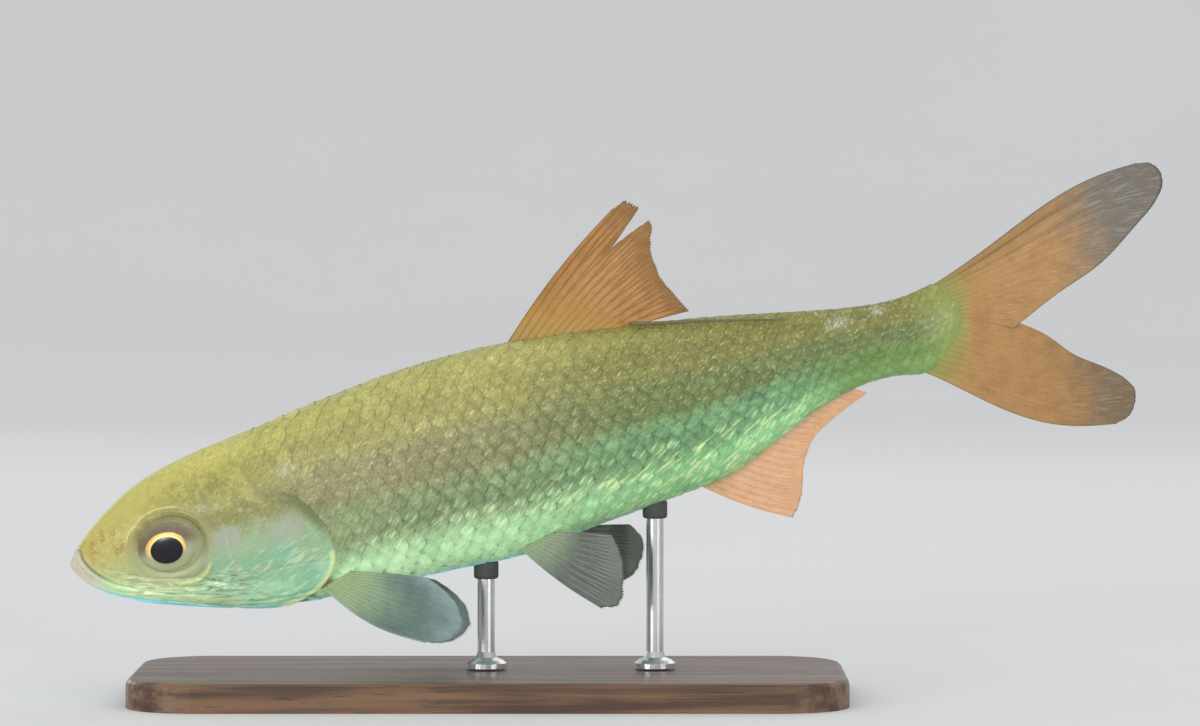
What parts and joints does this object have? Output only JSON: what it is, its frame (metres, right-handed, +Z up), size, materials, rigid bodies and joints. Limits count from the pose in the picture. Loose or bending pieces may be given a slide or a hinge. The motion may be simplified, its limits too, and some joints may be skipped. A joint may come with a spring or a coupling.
{
  "type": "atlantic tarpon display model",
  "caption": "Young sea fish with a projecting lower jaw, large scales, a thread-like last dorsal ray and a deeply forked tail, swimming head down over a flat display stand.",
  "frame": {"origin": "centre of the stand's underside, on the surface that it rests on", "axes": "+X from the fish's head towards its tail, level; +Y towards the fish's right flank; +Z up"},
  "size_m": [0.1914, 0.054, 0.0935],
  "materials": {
    "head_skin": "wet skin, yellow olive",
    "lip": "wet skin, pale",
    "maxilla": "wet skin over bone, pale",
    "gill_cover": "silvery mint sheen",
    "skin": "scaled, wet, green to silver",
    "eye": "polished",
    "fin": "clear membrane with rays",
    "stand_wood": "satin dark walnut",
    "stand_steel": "turned"
  },
  "bodies": {
    "root": {"head": "head_skin", "lower_jaw": "lip", "maxilla_left": "maxilla", "maxilla_right": "maxilla", "gill_cover_left": "gill_cover", "gill_cover_right": "gill_cover", "trunk": "skin", "tail_stalk": "skin", "eye_left": "eye", "eye_right": "eye", "dorsal_fin": "fin", "dorsal_filament": "fin", "anal_fin": "fin", "tail_fin_upper": "fin", "tail_fin_lower": "fin", "pectoral_fin_left": "fin", "pectoral_fin_right": "fin", "pelvic_fin_left": "fin", "pelvic_fin_right": "fin", "stand_base": "stand_wood", "stand_rod_front": "stand_steel", "stand_rod_rear": "stand_steel"}
  },
  "joints": []
}
